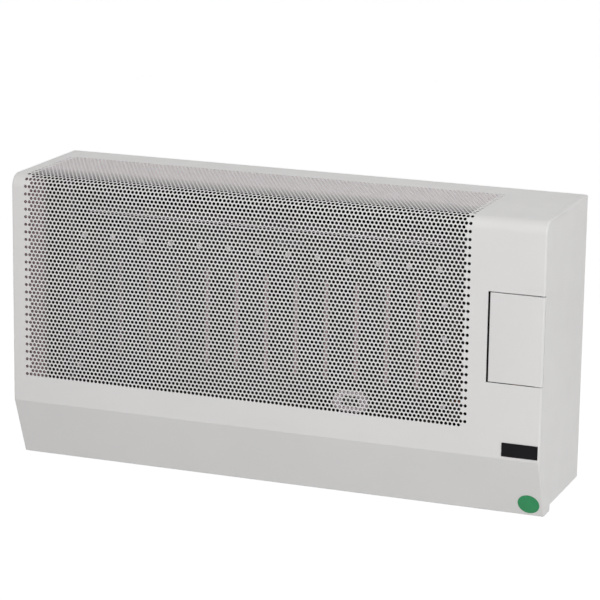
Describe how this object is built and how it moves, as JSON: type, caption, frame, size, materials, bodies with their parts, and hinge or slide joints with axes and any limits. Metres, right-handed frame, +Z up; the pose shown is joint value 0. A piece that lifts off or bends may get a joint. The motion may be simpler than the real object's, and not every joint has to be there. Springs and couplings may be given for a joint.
{
  "type": "wall mounted gas heater",
  "caption": "White wall mounted gas convector: perforated wrap-over casing with a slanted lower front, hinged control door, enamelled heat exchanger and concentric wall flue.",
  "frame": {"origin": "on the wall plane at the centre of the casing's width and height", "axes": "+X to the right seen from the room, +Y into the wall, +Z up"},
  "size_m": [0.875, 0.2761, 0.4663],
  "materials": {
    "white_paint": "satin powder coat, white",
    "zinc_steel": "zinc-coated sheet, slightly mottled",
    "black_plastic": "moulded, fine grain",
    "black_label": "smooth bare plate",
    "green_label": "smooth bare disc",
    "enamel": "dark vitreous enamel",
    "seal_fibre": "pressed fibre",
    "heat_steel": "heat-resistant steel, dulled",
    "sight_glass": "heat-resistant glass",
    "brass": "turned, dulled",
    "copper": "copper tube, dulled",
    "ceramic": "glazed ceramic and bare wire",
    "red_plastic": "smooth red",
    "cast_aluminium": "die-cast, fine grain"
  },
  "bodies": {
    "heater": {"front_top_panel": "white_paint", "front_grille": "white_paint", "top_grille": "white_paint", "left_side_panel": "white_paint", "right_side_panel": "white_paint", "door_hinge_rod": "zinc_steel", "hinge_bracket_upper": "zinc_steel", "hinge_bracket_lower": "zinc_steel", "magnet_catch": "black_plastic", "name_plate": "black_label", "round_sticker": "green_label", "back_plate": "zinc_steel", "casing_bracket_left": "zinc_steel", "casing_bracket_right": "zinc_steel", "casing_screw_left": "zinc_steel", "casing_screw_right": "zinc_steel", "heat_shield": "zinc_steel", "exchanger_bracket_left": "zinc_steel", "exchanger_bracket_right": "zinc_steel", "exchanger_rear_shell": "enamel", "exchanger_gasket": "seal_fibre", "exchanger_front_cover": "enamel", "exchanger_baffle": "heat_steel", "sight_glass_frame": "heat_steel", "sight_glass_gasket": "seal_fibre", "sight_glass": "sight_glass", "sight_screw_left": "zinc_steel", "sight_screw_right": "zinc_steel", "burner_tube": "heat_steel", "burner_cradle_left": "heat_steel", "burner_cradle_right": "heat_steel", "injector": "brass", "pilot_plate": "heat_steel", "pilot_gasket": "seal_fibre", "pilot_burner": "brass", "pilot_tube": "copper", "thermocouple": "copper", "ignition_electrode": "ceramic", "ignition_lead": "red_plastic", "control_bracket": "zinc_steel", "gas_valve_body": "cast_aluminium", "igniter_body": "black_plastic", "igniter_nut": "zinc_steel", "gas_inlet_pipe": "copper", "inlet_union_nut": "brass", "burner_pipe": "copper", "thermostat_bulb": "copper", "thermostat_capillary": "copper", "bulb_clip": "zinc_steel", "air_box": "zinc_steel", "intake_spigot": "zinc_steel", "exhaust_spigot": "heat_steel"},
    "door": {"control_door": "white_paint"},
    "spindle": {"valve_spindle": "zinc_steel"},
    "knob": {"control_knob": "black_plastic"},
    "piezo_button": {"igniter_button": "red_plastic"}
  },
  "joints": [
    {"name": "door_hinge", "type": "hinge", "parent": "heater", "child": "door", "pos_m": [0.4343, -0.2218, 0.0504], "axis": [0, 0, 1], "range_deg": [0, 110]},
    {"name": "control_turn", "type": "hinge", "parent": "heater", "child": "spindle", "pos_m": [0.393, -0.17, 0.076], "axis": [0, -1, 0], "range_deg": [0, 270]},
    {"name": "control_push", "type": "slide", "parent": "spindle", "child": "knob", "axis": [0, 1, 0], "range_m": [0, 0.005], "stiffness_N_per_m": 600},
    {"name": "igniter_push", "type": "slide", "parent": "heater", "child": "piezo_button", "axis": [0, 1, 0], "range_m": [0, 0.006], "stiffness_N_per_m": 900}
  ]
}
